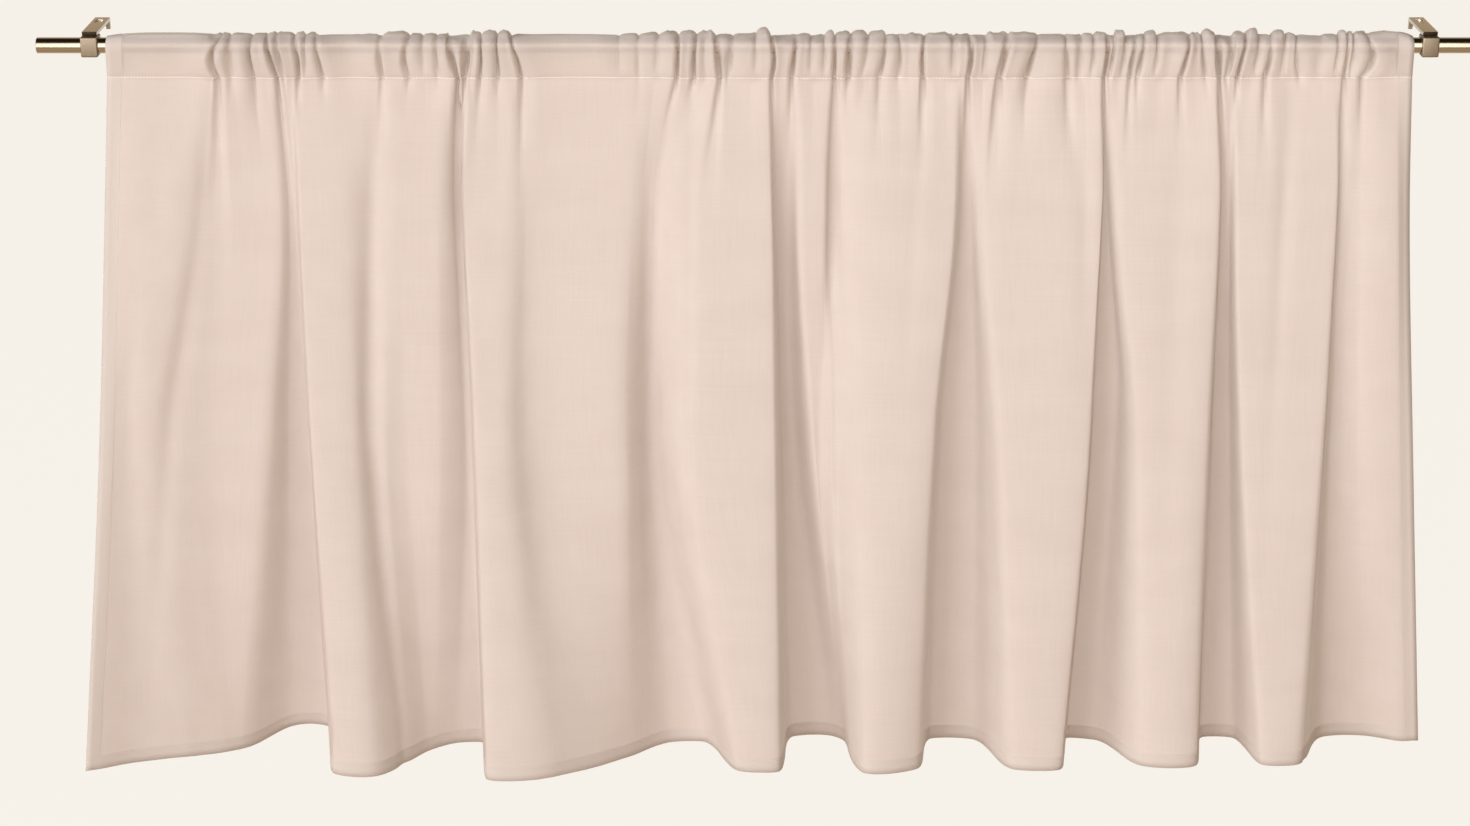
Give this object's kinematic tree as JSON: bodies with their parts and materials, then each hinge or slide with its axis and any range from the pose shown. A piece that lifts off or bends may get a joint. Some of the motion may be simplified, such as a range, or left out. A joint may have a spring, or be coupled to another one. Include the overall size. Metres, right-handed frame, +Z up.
{
  "type": "window valance on a curtain rod",
  "caption": "Short sheer linen window valance with a sewn rod pocket, gathered unevenly on a round metal curtain rod held by small wall brackets.",
  "frame": {"origin": "on the wall plane that the brackets are fixed to, midway between the two brackets, level with the rod's axis", "axes": "+X to the right along the rod as seen from the room, +Y back into the wall, +Z up; the cloth's front faces -Y"},
  "size_m": [1.4532, 0.1293, 0.8026],
  "materials": {
    "linen": "sheer dusty-rose linen, plain weave with slubs",
    "rod_metal": "brushed nickel",
    "collar_metal": "matte warm nickel",
    "arm_metal": "satin nickel"
  },
  "bodies": {
    "root": {"cloth": "linen", "rod": "rod_metal", "collar_left": "collar_metal", "collar_right": "collar_metal", "arm_left": "arm_metal", "arm_right": "arm_metal"}
  },
  "joints": []
}
